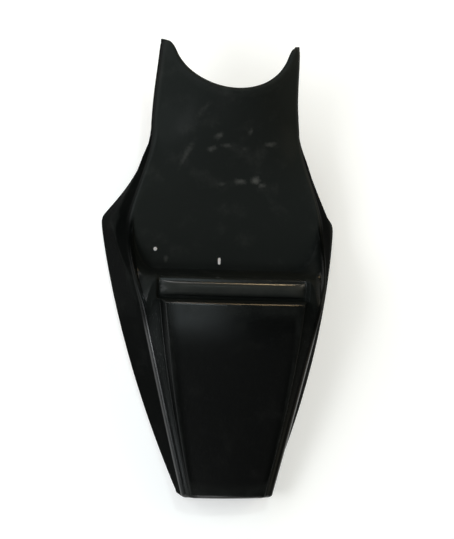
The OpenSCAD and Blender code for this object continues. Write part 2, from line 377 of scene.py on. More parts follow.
    def deck_x(self, r: Grid) -> Grid:
        """Half width of the block and the hump, carried on as a column over the pan."""
        inner = self.inner_share * self.edge_x(self.side_y(r))
        pan_block = self.block_w / 2.0 - self.block_inset
        return np.select(
            [r < 1.0, r < 2.0, r < 3.0, r < 4.0],
            [
                mix(inner, pan_block, ease(r)),
                mix(pan_block, self.block_w / 2.0, r - 1.0),
                np.full_like(r, self.block_w / 2.0),
                mix(self.block_w / 2.0, self.hump_w / 2.0, ease(r - 3.0)),
            ],
            mix(self.hump_w / 2.0, self.hump_end_w / 2.0, r - 4.0)
            + 4.0 * self.hump_bow * (r - 4.0) * (5.0 - r),
        )

    def step_x(self, r: Grid) -> Grid:
        """Half width at the foot of the step beside the block and the hump."""
        run = mix(self.step_run, self.step_end * self.step_run, part_of(4.0, 5.0, r))
        return self.deck_x(r) + run

    def top_x(self, s: Grid, r: Grid) -> Grid:
        """Distance from the centre line on the top skin, in three bands of columns."""
        deck = self.deck_x(r)
        foot = self.step_x(r)
        edge = self.edge_x(self.side_y(r)) - self.edge_r
        q = s - 2.0
        turn = np.where(r < 1.0, ease(r), np.where(r < 2.0, 2.0 - r, 0.0))
        ledge = mix(foot, edge, mix(q, np.sin(np.pi / 2.0 * q), turn))
        return np.where(s < 1.0, deck * s, np.where(s < 2.0, mix(deck, foot, s - 1.0), ledge))

    def top_y(self, s: Grid, r: Grid) -> Grid:
        """Place along the unit on the top skin: rows bend from the middle to the outline."""
        x = self.top_x(s, r)
        a = self.mid_y(r)
        b = self.side_y(r)
        q = np.maximum(0.0, s - 2.0)
        corner = 1.0 - np.cos(np.pi / 2.0 * q)
        pan = mix(a, b, mix(self.cut_share(x / self.edge_x(b)), corner, ease(r)))
        return np.where(r < 1.0, pan, mix(a, b, mix(corner, q * q, clamp01(r - 1.0))))

    def block_z(self, s: Grid, r: Grid) -> Grid:
        """Height behind the pan: crowned deck, eased step, ledge that falls to the outline."""
        deck = self.deck_z(r)
        edge = self.edge_z(self.side_y(np.maximum(r, 2.0)))
        ledge = edge + self.ledge_fall
        step = mix(deck - self.crown, ledge, ease(s - 1.0))
        top = deck - self.crown * s * s + self.bead_z(s, r)
        return np.where(s < 1.0, top, np.where(s < 2.0, step, mix(ledge, edge, s - 2.0)))

    def top_z(self, s: Grid, r: Grid) -> Grid:
        """Height of the top skin: the pan, the eased back-stop with its lip, and what is behind."""
        q = np.maximum(0.0, s - 2.0)
        high = mix(self.shoulder_h + self.ledge_fall, self.shoulder_h, q)
        face = ease(r - 1.0) * np.where(s < 2.0, self.block_z(s, np.full_like(r, 2.0)), high)
        face = face - self.lip * np.sin(np.pi * (r - 1.0)) ** 2 * q
        return np.where(r < 1.0, self.pan_z(s, r), np.where(r < 2.0, face, self.block_z(s, r)))

    def top_point(self, s: Grid, r: Grid) -> Grid:
        """Point of the top skin."""
        return np.stack([self.top_x(s, r), self.top_y(s, r), self.top_z(s, r)], -1)

    def skirt_point(self, s: Grid, y: Grid) -> Grid:
        """Point of the skirt: the line from the outline to the rim, bulged at the crease.

        Args:
            s: column, 4 at the top of the skirt, 5 on the crease and 6 at the rim.
            y: place along the unit.

        Returns:
            Points in the pan's frame.
        """
        top_x, top_z = self.edge_x(y), self.edge_z(y)
        rim_x, rim_z = self.rim(y)
        dx, dz = rim_x - top_x, rim_z - top_z
        depth = np.hypot(dx, dz)
        start = self.edge_r / depth
        front = rise(-self.ramp_back, self.skirt_pos, y)
        place = np.maximum(start + self.crease_gap, mix(start, self.crease_place, front))
        fade = rise(self.skirt_start, self.skirt_start - self.crease_fade, y)
        share = np.where(s < 5.0, mix(start, place, s - 4.0), mix(place, 1.0, s - 5.0))
        out = self.crease * front * fade * np.where(s < 5.0, s - 4.0, 6.0 - s) / depth
        return np.stack([top_x + dx * share - dz * out, y, top_z + dz * share + dx * out], -1)

    def skin_point(self, s: Grid, r: Grid) -> Grid:
        """Point of the outer skin: top, a three-point curve round the edge, and the skirt."""
        y = self.side_y(r)
        top = self.top_point(np.minimum(s, 3.0), r)
        q = clamp01(s - 3.0)[..., None]
        a = self.top_point(np.full_like(s, 3.0), r)
        b = np.stack([self.edge_x(y), y, self.edge_z(y)], -1)
        c = self.skirt_point(np.full_like(s, 4.0), y)
        bend = mix(mix(a, b, q), mix(b, c, q), q)
        low = self.skirt_point(np.maximum(s, 4.0), y)
        return np.where((s <= 3.0)[..., None], top, np.where((s < 4.0)[..., None], bend, low))

    def rounded(self, z: Grid, low: Grid, turn: Grid) -> Grid:
        """Height after a turn round an end edge, running out to nothing at the lower rim."""
        room = np.minimum(1.0, (z - low) / (2.0 * self.edge_r))
        return z - self.edge_r * (1.0 - np.cos(turn)) * room

    def flange_point(self, s: Grid, c: Grid) -> Grid:
        """Point of the turned-down front edge: a quarter turn outwards, then straight down.

        Args:
            s: column.
            c: 0 on the skin, 1 at the bottom of the flange.

        Returns:
            Points in the pan's frame.
        """
        zero = np.zeros_like(s)
        tick = 0.04
        p = self.skin_point(s, zero)
        a = self.skin_point(np.maximum(0.0, s - tick), zero)
        b = self.skin_point(np.minimum(LAST_COLUMN, s + tick), zero)
        out = unit(np.stack([a[..., 1] - b[..., 1], b[..., 0] - a[..., 0]], -1))
        out = np.where((s < 0.05)[..., None], np.array([0.0, 1.0]), out)
        rim_z = self.skin_point(np.full_like(s, LAST_COLUMN), zero)[..., 2]
        low = np.where(s <= 3.0, p[..., 2] - self.flange, rim_z)
        turn = np.minimum(np.pi / 2.0, np.pi * c)
        down = clamp01(2.0 * c - 1.0)
        reach = self.edge_r * np.sin(turn)
        x = p[..., 0] + out[..., 0] * reach
        y = p[..., 1] + out[..., 1] * reach
        corner = self.skin_point(np.full_like(s, 3.0), zero)[..., 0]
        side = self.skin_point(np.full_like(s, LAST_COLUMN), zero)[..., 0]
        foot = np.where(s <= 3.0, x, mix(corner, side, (s - 3.0) / 4.0))
        return np.stack([mix(x, foot, down), y, mix(self.rounded(p[..., 2], low, turn), low, down)], -1)

    def face_point(self, s: Grid, c: Grid) -> Grid:
        """Point of the tail face: a quarter turn, then straight down to the rim.

        Args:
            s: column.
            c: 0 on the skin, 1 along the bottom of the face.

        Returns:
            Points in the pan's frame.
        """
        five = np.full_like(s, 5.0)
        p = self.skin_point(s, five)
        low = self.rim(np.full_like(s, self.edge_r - self.tail_len))[1]
        turn = np.minimum(np.pi / 2.0, np.pi * c)
        down = clamp01(2.0 * c - 1.0)
        x = p[..., 0] - self.edge_r * (1.0 - np.cos(turn)) * p[..., 0] / (self.tail_w / 2.0)
        corner = self.skin_point(np.full_like(s, 3.0), five)[..., 0]
        outside = mix(self.foot_share, 1.0, (s - 3.0) / 3.0)
        share = np.where(s <= 3.0, self.foot_share * p[..., 0] / corner, outside)
        foot = share * (self.tail_w / 2.0 - self.edge_r - self.foot_inset)
        y = p[..., 1] - self.edge_r * np.sin(turn)
        return np.stack([mix(x, foot, down), y, mix(self.rounded(p[..., 2], low, turn), low, down)], -1)

    def parameters(self, fine: int) -> tuple[Grid, Grid]:
        """Columns and rows of the grid, with fine cells for each one of the CAD model's.

        Args:
            fine: how many cells stand for one of the CAD model's.

        Returns:
            Columns from -6 to 6 and rows from -1 to 6, each as a grid.
        """
        bands = [b + np.arange(m * fine) / (m * fine) for b, m in enumerate(self.band_columns)]
        half = np.concatenate([*bands, [LAST_COLUMN]])
        bands = [FIRST_ROW + b + np.arange(m * fine) / (m * fine) for b, m in enumerate(self.band_rows)]
        rows = np.concatenate([*bands, [LAST_ROW]])
        return np.meshgrid(np.concatenate([-half[:0:-1], half]), rows)

    def outer(self, columns: Grid, rows: Grid) -> Grid:
        """Outer skin over the grid, mirrored about the centre line.

        Args:
            columns: grid of columns, negative on the left.
            rows: grid of rows.

        Returns:
            Points, rows by columns by 3.
        """
        s = np.abs(columns)
        with np.errstate(invalid="ignore", divide="ignore"):
            skin = self.skin_point(s, np.clip(rows, 0.0, 5.0))
            front = self.flange_point(s, clamp01(-rows))
            tail = self.face_point(s, clamp01(rows - 5.0))
        p = np.where((rows < 0.0)[..., None], front, np.where((rows > 5.0)[..., None], tail, skin))
        p[..., 0] = p[..., 0] * np.where(columns < 0.0, -1.0, 1.0)
        return p

    def inner(self, outer: Grid, fine: int) -> Grid:
        """Inner skin: the outer one moved one wall inwards along its evened normals.

        The normal is the cross product of the differences along the row and along the column.

        Args:
            outer: outer skin's grid.
            fine: how many cells stand for one of the CAD model's.

        Returns:
            Points, as the outer skin's.
        """
        rows, columns = outer.shape[:2]
        i = np.clip(np.arange(rows), 1, rows - 2)[:, None]
        j = np.clip(np.arange(columns), 1, columns - 2)[None, :]
        along = outer[i, j + 1] - outer[i, j - 1]
        back = outer[i + 1, j] - outer[i - 1, j]
        inwards = unit(np.cross(along, back))
        return outer + self.wall * evened(inwards, self.even_passes * fine**2)

    def resting(self) -> tuple[float, float, float]:
        """Tilt and shift that put both ends of the lower rim on the ground, as in the CAD model.

        Returns:
            The tilt about x in radians, the middle along y and the lowest height.
        """
        tilt = math.atan2(self.tail_low + self.skirt_drop, self.tail_len + self.skirt_pos)
        outer = self.outer(*self.parameters(1))
        p = self.tilted(np.concatenate([outer, self.inner(outer, 1)]), tilt)
        return tilt, (p[..., 1].min() + p[..., 1].max()) / 2.0, p[..., 2].min()

    @staticmethod
    def tilted(p: Grid, tilt: float) -> Grid:
        """Points turned about the x axis by tilt."""
        y = p[..., 1] * math.cos(tilt) - p[..., 2] * math.sin(tilt)
        z = p[..., 1] * math.sin(tilt) + p[..., 2] * math.cos(tilt)
        return np.stack([p[..., 0], y, z], -1)

    def laid_down(self, p: Grid) -> Grid:
        """Points of the pan's frame in the row frame, in metres."""
        tilt, middle, ground = self.resting()
        return (self.tilted(p, tilt) - np.array([0.0, middle, ground])) * MM

    def bulge(self, outer: Grid) -> Grid:
        """How far each point stands out from the skin round it, from 0 to 1 at full_bulge.

        The point's height over the average of the points round it, along the outward normal.

        Args:
            outer: outer skin's fine grid.

        Returns:
            A grid of values.
        """
        smooth = evened(outer, self.bulge_passes * self.fine)
        inwards = unit(self.inner(outer, self.fine) - outer)
        height = -((outer - smooth) * inwards).sum(-1)
        return clamp01(height / self.full_bulge)

    def build(self, finishes: dict[Side, Material]) -> Object:
        """Makes the moulding: outer skin, inner skin and the trimmed edge between them, with its holes.

        Args:
            finishes: material of each side, in the order of the slots.

        Returns:
            The object, at the origin, in the row frame.
        """
        columns, rows = self.parameters(self.fine)
        outer = self.outer(columns, rows)
        inner = self.inner(outer, self.fine)
        count = outer.shape[0] * outer.shape[1]
        points = self.laid_down(np.concatenate([outer.reshape(-1, 3), inner.reshape(-1, 3)]))
        at = np.arange(count).reshape(outer.shape[:2])
        a, b, c, d = at[:-1, :-1], at[:-1, 1:], at[1:, 1:], at[1:, :-1]
        top = np.stack([a, b, c, d], -1).reshape(-1, 4)
        under = np.stack([a, d, c, b], -1).reshape(-1, 4) + count
        loop = np.concatenate([at[0, :-1], at[:-1, -1], at[-1, :0:-1], at[:0:-1, 0]])
        after = np.roll(loop, -1)
        edge = np.stack([loop, loop + count, after + count, after], -1)
        quads = np.concatenate([top, under, edge])
        slots = np.repeat(
            [Side.GELCOAT.value, Side.LAMINATE.value, Side.TRIM.value], [len(top), len(under), len(edge)]
        )
        piece = mesh_piece("moulding", points, quads.tolist())
        mesh = piece.data
        for side in Side:
            mesh.materials.append(finishes[side])
        mesh.polygons.foreach_set("material_index", slots.astype(np.int32))
        mesh.polygons.foreach_set("use_smooth", np.ones(len(quads), dtype=bool))
        for name, u, v in (
            (UV_WEAR, self.bulge(outer), self.dull_finish_and_ledge_sheen(columns, rows)),
            (UV_POLISH, self.polish(columns, rows), self.bead_dust_and_light(columns, rows)),
        ):
            pair = np.tile(np.stack([u, v], -1).reshape(-1, 2), (2, 1))
            layer = mesh.uv_layers.new(name=name)
            layer.data.foreach_set("uv", pair[quads.reshape(-1)].reshape(-1).astype(np.float32))
        return self.drilled(piece, finishes[Side.TRIM])

    @staticmethod
    def dull_finish_and_ledge_sheen(columns: Grid, rows: Grid) -> Grid:
        """Share of the dull finish: full on the pan, less on the bead and the back-stop, a third on the
        ledges beside the hump as a painted sheen, none elsewhere.

        Each part is a product of eased steps over the columns and the rows, and the largest counts.

        Args:
            columns: grid of columns.
            rows: grid of rows.

        Returns:
            A grid of values.
        """
        s = np.abs(columns)
        pan = fall(0.93, 1.08, rows) * fall(3.3, 3.9, s)
        face = 0.5 * rise(0.93, 1.08, rows) * fall(3.0, 4.2, rows) * fall(2.6, 3.2, s)
        bead = rise(1.95, 2.2, rows) * fall(2.75, 3.3, rows) * fall(0.97, 1.3, s)
        # The ledges' share is a painted sheen: the dull colour lightens them as a reflection would.
        ledge = 0.35 * rise(3.2, 3.6, rows) * rise(1.9, 2.1, s) * fall(2.8, 3.1, s)
        return np.maximum.reduce([pan, face, bead, ledge])

    def polish(self, columns: Grid, rows: Grid) -> Grid:
        """Share of the polish: most on the hump, its ledges, the shoulders and the back-stop's top edge.

        The bead, the steps beside the hump, the ramps and the right of the hump's front edge have less,
        and the pan and the skirts next to nothing. It is put together as the dullness is.
        """
        s = np.abs(columns)
        deck = fall(1.0, 1.2, s)
        outline = self.side_y(np.clip(rows, 0.0, 5.0))
        hump = mix(rise(3.15, 3.5, rows), rise(-62.0, -125.0, outline), ease(s - 1.0))
        hump = hump * (1.0 - 0.7 * rise(0.8, 1.0, s) * fall(2.0, 2.5, s))
        hump = hump * (1.0 - 0.6 * rise(-0.7, 0.3, columns) * fall(4.05, 4.3, rows))
        stop = rise(1.7, 1.85, rows) * fall(2.15, 2.35, rows) * deck
        bead = 0.1 * rise(2.0, 2.1, rows) * fall(3.0, 3.2, rows) * deck
        ramp = 0.2 * rise(1.1, 1.8, rows) * rise(2.4, 3.0, s)
        edge = 0.1 * rise(3.0, 3.3, s) * fall(0.9, 1.2, rows)
        skirt = 0.025 + 0.02 * rise(4.9, 5.2, s) * (1.0 - part_of(1.0, 5.0, rows))
        return np.maximum(np.maximum.reduce([hump, stop, bead, ramp, edge]) * fall(3.9, 4.2, s), skirt)

    @staticmethod
    def bead_dust_and_light(columns: Grid, rows: Grid) -> Grid:
        """Share of a paler dust colour along the top of the bead: dust, and painted light on its upward
        face.
        """
        return fall(0.9, 1.05, np.abs(columns)) * rise(2.0, 2.3, rows) * fall(2.6, 3.0, rows)

    def cutter(self, name: str, outline: Grid) -> Object:
        """A prism through the wall of the pan, with a given outline.

        Args:
            name: the object's name.
            outline: points of the outline in the pan's plane, anticlockwise, in millimetres.

        Returns:
            The cutter, in the row frame.
        """
        count = len(outline)
        low = np.column_stack([outline, np.full(count, -self.cutter_reach)])
        high = np.column_stack([outline, np.full(count, self.cutter_reach)])
        points = self.laid_down(np.concatenate([low, high]))
        near = np.arange(count)
        far = np.roll(near, -1)
        sides = np.stack([near, far, far + count, near + count], -1).tolist()
        faces = [list(range(count - 1, -1, -1)), list(range(count, 2 * count)), *sides]
        return mesh_piece(name, points, faces)

    def outlines(self) -> dict[str, Grid]:
        """Outlines of the fixing hole, a circle, and of the strap slot, a circle drawn out along y."""
        turn = np.linspace(0.0, 2.0 * np.pi, self.hole_sides, endpoint=False)
        ring = np.stack([np.cos(turn), np.sin(turn)], -1)
        hole = ring * self.hole_d / 2.0 + np.array([self.hole_x, self.hole_y])
        draw = np.where(ring[:, 1] > 0.0, 1.0, -1.0) * (self.slot_len - self.slot_w) / 2.0
        slot = ring * self.slot_w / 2.0 + np.array([self.slot_x, self.slot_y])
        slot[:, 1] += draw
        return {"fixing_hole_cut": hole, "strap_slot_cut": slot}

    def drilled(self, piece: Object, trim: Material) -> Object:
        """Cuts the holes and bakes the cuts into the mesh.

        Args:
            piece: the undrilled moulding.
            trim: material of the cut faces.

        Returns:
            The same object with its new mesh.
        """
        cutters = [self.cutter(name, outline) for name, outline in self.outlines().items()]
        for cutter in cutters:
            cutter.data.materials.append(trim)
            cut = piece.modifiers.new(cutter.name, "BOOLEAN")
            cut.operation = "DIFFERENCE"
            cut.solver = "EXACT"
            cut.material_mode = "TRANSFER"
            cut.object = cutter
        graph = bpy.context.evaluated_depsgraph_get()
        mesh = bpy.data.meshes.new_from_object(piece.evaluated_get(graph))
        piece.modifiers.clear()
        old = piece.data
        piece.data = mesh
        bpy.data.meshes.remove(old)
        mesh.name = "moulding"
        for cutter in cutters:
            bpy.data.objects.remove(cutter)
        mesh.set_sharp_from_angle(angle=math.radians(self.sharp_angle))
        return piece


class Nodes:
    """A node tree with short ways to add and join its nodes."""

    def __init__(self, tree: NodeTree) -> None:
        """Keeps the tree and empties it."""
        self.tree = tree
        tree.nodes.clear()

    def add(self, kind: str, inputs: dict | None = None, **settings: object) -> Node:
        """Adds a node.

        Args:
            kind: type of the node, such as ShaderNodeMath.
            inputs: a value to set or a socket to link for each input, by its name or number.
            settings: attributes of the node, which are set first.

        Returns:
            The new node.
        """
        node = self.tree.nodes.new(kind)
        for key, value in settings.items():
            setattr(node, key, value)
        for key, value in (inputs or {}).items():
            if isinstance(value, NodeSocket):
                self.tree.links.new(value, node.inputs[key])
            else:
                node.inputs[key].default_value = value
        return node

    def math(self, operation: str, a: object, b: object = 0.0) -> NodeSocket:
        """Result of one Math node on a and b, each a number or a socket."""
        return self.add("ShaderNodeMath", {0: a, 1: b}, operation=operation).outputs[0]

    def times(self, a: object, b: object) -> NodeSocket:
        """Product of a and b, each a number or a socket."""
        return self.math("MULTIPLY", a, b)

    def ramp(self, value: object, low: float, high: float) -> NodeSocket:
        """Value spread from 0 at low to 1 at high with an eased slope."""
        inputs = {"Value": value, "From Min": low, "From Max": high}
        return self.add("ShaderNodeMapRange", inputs, interpolation_type="SMOOTHSTEP").outputs[0]

    def blend(self, share: object, a: object, b: object) -> NodeSocket:
        """Colour a where share is 0 and colour b where it is 1."""
        return self.add("ShaderNodeMix", {"Factor": share, 6: a, 7: b}, data_type="RGBA").outputs[2]

    def level(self, share: object, a: object, b: object) -> NodeSocket:
        """Number a where share is 0 and number b where it is 1."""
        return self.add("ShaderNodeMix", {"Factor": share, 2: a, 3: b}, data_type="FLOAT").outputs[0]

    def noise(self, place: object, scale: float, detail: float, roughness: float = 0.5) -> NodeSocket:
        """Noise at place, as a number from 0 to 1."""
        inputs = {"Vector": place, "Scale": scale, "Detail": detail, "Roughness": roughness}
        return self.add("ShaderNodeTexNoise", inputs).outputs[0]

    def streaks(
        self, place: object, turn: float, stretch: tuple, scale: float, detail: float
    ) -> NodeSocket:
        """Noise at a place turned about z and stretched, which draws it out along one direction."""
        inputs = {"Vector": place, "Rotation": (0.0, 0.0, turn), "Scale": stretch}
        spin = self.add("ShaderNodeMapping", inputs, vector_type="POINT")
        return self.noise(spin.outputs[0], scale, detail)

    def length(self, vector: NodeSocket) -> NodeSocket:
        """Length of a vector."""
        return self.add("ShaderNodeVectorMath", {0: vector}, operation="LENGTH").outputs["Value"]

    def place(self) -> NodeSocket:
        """Object coordinates."""
        return self.add("ShaderNodeTexCoord").outputs["Object"]

    def uv_pair(self, name: str) -> tuple[NodeSocket, NodeSocket]:
        """The two values that a UV map holds."""
        flat = self.add("ShaderNodeUVMap", uv_map=name).outputs[0]
        split = self.add("ShaderNodeSeparateXYZ", {0: flat}).outputs
        return split[0], split[1]

    def use(self, tree: NodeTree, inputs: dict) -> bpy.types.bpy_prop_collection:
        """Outputs of a node group that the inputs feed."""
        return self.add("ShaderNodeGroup", inputs, node_tree=tree).outputs

    def surface(self, looks: dict, height: NodeSocket, relief: float, bumped: tuple = ("Normal",)) -> None:
        """Ends a material of the moulding with its bump, its shader and its output.

        Args:
            looks: the shader's inputs.
            height: height of the relief.
            relief: depth of the relief, in metres.
            bumped: the shader's inputs that the bump feeds.
        """
        inputs = {"Strength": 1.0, "Distance": relief, "Height": height}
        bump = self.add("ShaderNodeBump", inputs).outputs[0]
        looks = {"IOR": 1.5, **looks, **dict.fromkeys(bumped, bump)}
        shader = self.add("ShaderNodeBsdfPrincipled", looks).outputs[0]
        self.add("ShaderNodeOutputMaterial", {"Surface": shader})


def new_material(name: str) -> tuple[Material, Nodes]:
    """A material without nodes, and its tree."""
    made = bpy.data.materials.new(name)
    made.use_nodes = True
    return made, Nodes(made.node_tree)


def group(name: str, inputs: dict[str, object], outputs: tuple[str, ...]) -> tuple[NodeTree, Nodes]:
    """Starts a shader node group.

    Args:
        name: the group's name.
        inputs: name and default value of each number input, or None for a vector.
        outputs: names of the number outputs.

    Returns:
        The group and its nodes.
    """
    tree = bpy.data.node_groups.new(name, "ShaderNodeTree")
    for key, value in inputs.items():
        kind = "NodeSocketVector" if value is None else "NodeSocketFloat"
        socket = tree.interface.new_socket(name=key, in_out="INPUT", socket_type=kind)
        if value is not None:
            socket.default_value = value
    for key in outputs:
        tree.interface.new_socket(name=key, in_out="OUTPUT", socket_type="NodeSocketFloat")
    return tree, Nodes(tree)


def surface_grain() -> NodeTree:
    """Group: orange peel, long hand-laid waves and fine pores of a moulded surface, as one height.

    Returns:
        The group, with the outputs Height and Mottle.
    """
    inputs = {"Place": None, "Peel": 0.3, "Waves": 1.0, "Pores": 0.2}
    tree, n = group("surface grain", inputs, ("Height", "Mottle"))
    start = n.add("NodeGroupInput").outputs
    place = start["Place"]
    peel = n.times(n.noise(place, 420.0, 2.0), start["Peel"])
    waves = n.times(n.noise(place, 14.0, 1.0, 0.4), start["Waves"])
    pores = n.times(n.noise(place, 1700.0, 3.0, 0.6), start["Pores"])
    height = n.math("ADD", n.math("ADD", peel, waves), pores)
    mottle = n.ramp(n.noise(place, 34.0, 5.0, 0.62), 0.38, 0.66)
    n.add("NodeGroupOutput", {"Height": height, "Mottle": mottle})
    return tree


def settled_dust() -> NodeTree:
    """Group: dust that gathers in flecks and clouds, and hairline scratches, each as a mask.

    Returns:
        The group, with the outputs Dust and Scratches.
    """
    inputs = {"Place": None, "Amount": 0.3, "Scratching": 0.3}
    tree, n = group("settled dust", inputs, ("Dust", "Scratches"))
    start = n.add("NodeGroupInput").outputs
    place = start["Place"]
    flecks = n.ramp(n.noise(place, 900.0, 2.0, 0.7), 0.66, 0.76)
    clouds = n.ramp(n.noise(place, 22.0, 6.0, 0.66), 0.5, 0.75)
    dust = n.times(n.math("MAXIMUM", flecks, clouds), start["Amount"])
    hairline = (1.0, 0.03, 1.0)
    lines = [
        n.ramp(n.streaks(place, turn, hairline, scale, 1.0), 0.7, 0.74)
        for turn, scale in ((0.5, 660.0), (-0.9, 960.0))
    ]
    scratches = n.times(n.math("MAXIMUM", *lines), start["Scratching"])
    n.add("NodeGroupOutput", {"Dust": dust, "Scratches": scratches})
    return tree


@dataclass(frozen=True)
class Scuff:
    """One rubbed or dusty mark on the pan, in the pan's frame in millimetres."""

    x: float
    y: float
    long: float
    wide: float
    turn: float
    strength: float


SCUFFS = (
    Scuff(-57.0, 272.0, 26.0, 7.0, 62.0, 0.3),
    Scuff(-77.0, 197.0, 30.0, 7.0, 67.0, 0.32),
    Scuff(-26.0, 229.0, 11.0, 7.0, 40.0, 0.6),
    Scuff(-34.0, 208.0, 11.0, 7.0, 20.0, 0.5),
    Scuff(-6.0, 214.0, 13.0, 6.0, -10.0, 0.45),
    Scuff(26.0, 235.0, 10.0, 6.0, 80.0, 0.5),
    Scuff(25.0, 210.0, 8.0, 5.0, 0.0, 0.3),
    Scuff(70.0, 220.0, 16.0, 6.0, 8.0, 0.5),
    Scuff(20.0, 153.0, 13.0, 7.0, 0.0, 0.6),
    Scuff(48.0, 156.0, 11.0, 9.0, 0.0, 0.85),
    Scuff(60.0, 148.0, 10.0, 6.0, 0.0, 0.5),
    Scuff(-14.0, 148.0, 12.0, 5.0, 0.0, 0.3),
    Scuff(-105.0, 16.0, 8.0, 5.0, 90.0, 0.35),
)


@dataclass(frozen=True)
class Gelcoat:
    """Black gel coat: dull and dusty on the pan, glossy behind it, rubbed paler on the edges, with a
    painted sheen on the ledges and painted light on the bead's top.

    The gloss is a coat over a base without any, and its weight is the polish.
    """

    # The dull colour is the pan's own finish, and on the ledges a painted sheen.
    dull: tuple = (0.0112, 0.0128, 0.0117, 1.0)
    glossy: tuple = (0.0014, 0.0017, 0.0015, 1.0)
    rubbed: tuple = (0.026, 0.028, 0.026, 1.0)
    dust: tuple = (0.07, 0.07, 0.064, 1.0)
    dull_roughness: float = 0.62
    glossy_roughness: float = 0.35
    worn_roughness: float = 0.42
    dust_roughness: float = 0.85
    mottle_roughness: float = 0.07
    scratch_roughness: float = 0.25
    under_polish: float = 0.0
    polish_roughness: float = 0.22
    wear_paleness: float = 0.22
    scratch_paleness: float = 0.5
    wear_polish: float = 0.4
    scuff_depth: float = 0.05
    relief: float = 0.00035

    def scuff_mask(self, n: Nodes, shape: Moulding, place: NodeSocket) -> NodeSocket:
        """Mask of the marks on the pan: each is an ellipse whose edge a noise breaks up.

        Args:
            n: the material's nodes.
            shape: the moulding, which lays the marks down in the row frame.
            place: Object coordinates.

        Returns:
            The mask.
        """
        tilt = shape.resting()[0]
        ragged = n.times(n.noise(place, 120.0, 5.0, 0.7), 1.6)
        total: object = 0.0
        for mark in SCUFFS:
            centre = shape.laid_down(np.array([mark.x, mark.y, 0.0])).tolist()
            moved = n.add("ShaderNodeVectorMath", {0: place, 1: centre}, operation="SUBTRACT")
            inputs = {
                "Vector": moved.outputs[0],
                "Rotation": (tilt, 0.0, math.radians(mark.turn)),
                "Scale": (mark.long * MM, mark.wide * MM, self.scuff_depth),
            }
            turned = n.add("ShaderNodeMapping", inputs, vector_type="TEXTURE")
            wavy = n.math("ADD", n.length(turned.outputs[0]), ragged)
            spot = n.times(n.math("SUBTRACT", 1.0, n.ramp(wavy, 0.7, 1.9)), mark.strength)
            total = n.math("MAXIMUM", total, spot)
        return total

    def material(self, shape: Moulding, grain: NodeTree, dust: NodeTree) -> Material:
        """Builds the material.

        Args:
            shape: the moulding.
            grain: the surface grain group.
            dust: the settled dust group.

        Returns:
            The material.
        """
        made, n = new_material("gelcoat black")
        place = n.place()
        stands_out, on_pan = n.uv_pair(UV_WEAR)
        polish, on_bead = n.uv_pair(UV_POLISH)
        skin_inputs = {
            "Place": place,
            "Peel": n.level(on_pan, 0.1, 0.3),
            "Waves": n.level(on_pan, 1.0, 0.6),
            "Pores": n.level(on_pan, 0.01, 0.16),
        }
        dirt_inputs = {
            "Place": place,
            "Amount": n.level(on_pan, 0.04, 0.11),
            "Scratching": n.level(on_pan, 0.12, 0.2),
        }
        skin = n.use(grain, skin_inputs)
        dirt = n.use(dust, dirt_inputs)
        mottle, scratches = skin["Mottle"], dirt["Scratches"]
        worn = n.times(n.ramp(stands_out, 0.4, 1.0), n.level(mottle, 0.35, 1.0))
        scuffs = n.times(self.scuff_mask(n, shape, place), on_pan)
        # The dust along the bead's top also paints the light on its upward face.
        settled = n.times(on_bead, n.level(mottle, 0.12, 0.18))
        dusty = n.math("MAXIMUM", n.math("MAXIMUM", dirt["Dust"], scuffs), settled)
        # Dull colour on the pan, and as a painted sheen on the ledges beside the hump.
        colour = n.blend(on_pan, self.glossy, self.dull)
        colour = n.blend(n.times(worn, self.wear_paleness), colour, self.rubbed)
        colour = n.blend(n.times(scratches, self.scratch_paleness), colour, self.rubbed)
        rough = n.level(on_pan, self.glossy_roughness, self.dull_roughness)
        rough = n.math("ADD", rough, n.times(mottle, self.mottle_roughness))
        rough = n.level(worn, rough, self.worn_roughness)
        rough = n.math("ADD", rough, n.times(scratches, self.scratch_roughness))
        bare = n.math("SUBTRACT", 1.0, n.math("MAXIMUM", n.times(worn, self.wear_polish), dusty))
        looks = {
            "Base Color": n.blend(dusty, colour, self.dust),
            "Roughness": n.level(dusty, rough, self.dust_roughness),
            "Specular IOR Level": self.under_polish,
            "Coat Roughness": self.polish_roughness,
            "Coat Weight": n.times(polish, bare),
        }
        height = n.math("SUBTRACT", skin["Height"], scratches)
        n.surface(looks, height, self.relief, ("Normal", "Coat Normal"))
        return made


@dataclass(frozen=True)
class Laminate:
    """Bare glass-fibre laminate of the underside: chopped strands under dark resin."""

    resin: tuple = (0.018, 0.019, 0.017, 1.0)
    strand: tuple = (0.075, 0.078, 0.066, 1.0)
    dust: tuple = (0.12, 0.115, 0.1, 1.0)
    relief: float = 0.0006

    def strands(self, n: Nodes, place: NodeSocket) -> NodeSocket:
        """Mask of chopped strands: noise drawn out along three directions, the strongest of them."""
        total: object = 0.0
        for turn in (0.2, 1.3, 2.4):
            drawn = n.streaks(place, turn, (1.0, 0.06, 0.4), 620.0, 2.0)
            total = n.math("MAXIMUM", total, n.ramp(drawn, 0.52, 0.68))
        return total

    def material(self, grain: NodeTree, dust: NodeTree) -> Material:
        """Builds the material from the strands, the surface grain and the dust groups."""
        made, n = new_material("laminate underside")
        place = n.place()
        strands = self.strands(n, place)
        skin = n.use(grain, {"Place": place, "Peel": 0.9, "Waves": 2.4, "Pores": 0.4})
        dirt = n.use(dust, {"Place": place, "Amount": 0.2, "Scratching": 0.0})
        patchy = n.times(strands, n.level(skin["Mottle"], 0.3, 0.8))
        colour = n.blend(patchy, self.resin, self.strand)
        looks = {
            "Base Color": n.blend(dirt["Dust"], colour, self.dust),
            "Roughness": n.level(patchy, 0.38, 0.72),
        }
        n.surface(looks, n.math("ADD", skin["Height"], strands), self.relief)
        return made


